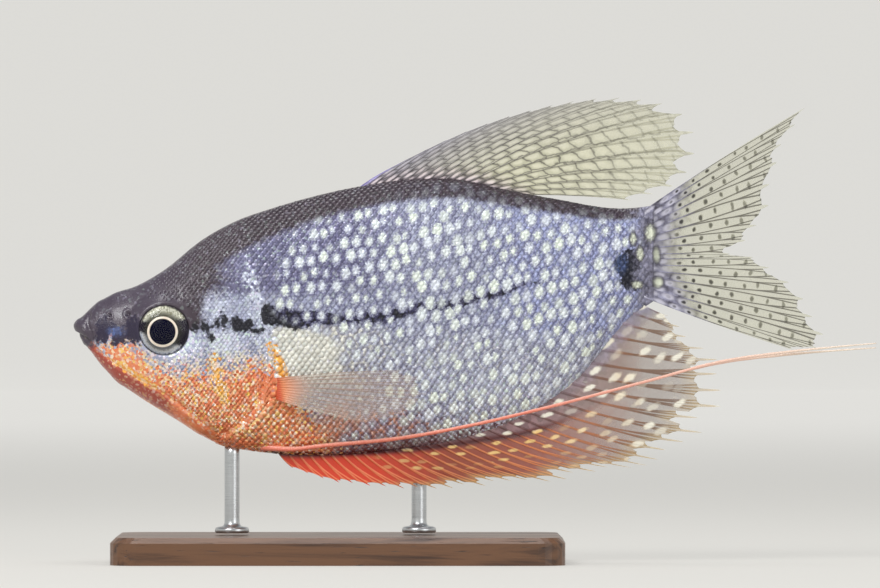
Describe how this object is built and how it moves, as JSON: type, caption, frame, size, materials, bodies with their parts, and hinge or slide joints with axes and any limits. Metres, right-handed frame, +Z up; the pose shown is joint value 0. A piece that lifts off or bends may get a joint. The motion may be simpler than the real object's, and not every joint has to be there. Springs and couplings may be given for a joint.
{
  "type": "pearl gourami model",
  "caption": "Life-size still model of a male pearl gourami, with pearl-spotted flanks, a red breast, spread fins and long pelvic threads, held over a flat base by short rods.",
  "frame": {"origin": "bottom centre of the bounding box: on the underside of the base, midway from the snout to the ends of the pelvic threads", "axes": "-X the way the fish looks, +X towards its tail, -Y its left side, +Y its right side, +Z up"},
  "size_m": [0.1174, 0.038, 0.0679],
  "materials": {
    "skin": "wet scaled skin, violet grey with pearl spots and a red breast",
    "eye": "clear wet eye over a pale iris and a black pupil",
    "clear_fin": "thin clear fin skin between fine rays, with pale spots edged in dark",
    "red_fin": "thin fin skin, red-orange in front and mauve brown behind, with pale spots",
    "thread": "coral, smooth and a little shiny",
    "base_wood": "dark oiled walnut",
    "rod_steel": "satin"
  },
  "bodies": {
    "root": {"head": "skin", "lower_jaw": "skin", "trunk": "skin", "tail_stalk": "skin", "gill_cover_left": "skin", "gill_cover_right": "skin", "eye_left": "eye", "eye_right": "eye", "dorsal_fin": "clear_fin", "tail_fin": "clear_fin", "anal_fin": "red_fin", "pectoral_fin_left": "clear_fin", "pectoral_fin_right": "clear_fin", "pelvic_thread_left_1": "thread", "pelvic_thread_left_2": "thread", "pelvic_thread_left_3": "thread", "pelvic_thread_right_1": "thread", "pelvic_thread_right_2": "thread", "pelvic_thread_right_3": "thread", "stand_base": "base_wood", "stand_rod_front": "rod_steel", "stand_rod_rear": "rod_steel"}
  },
  "joints": []
}
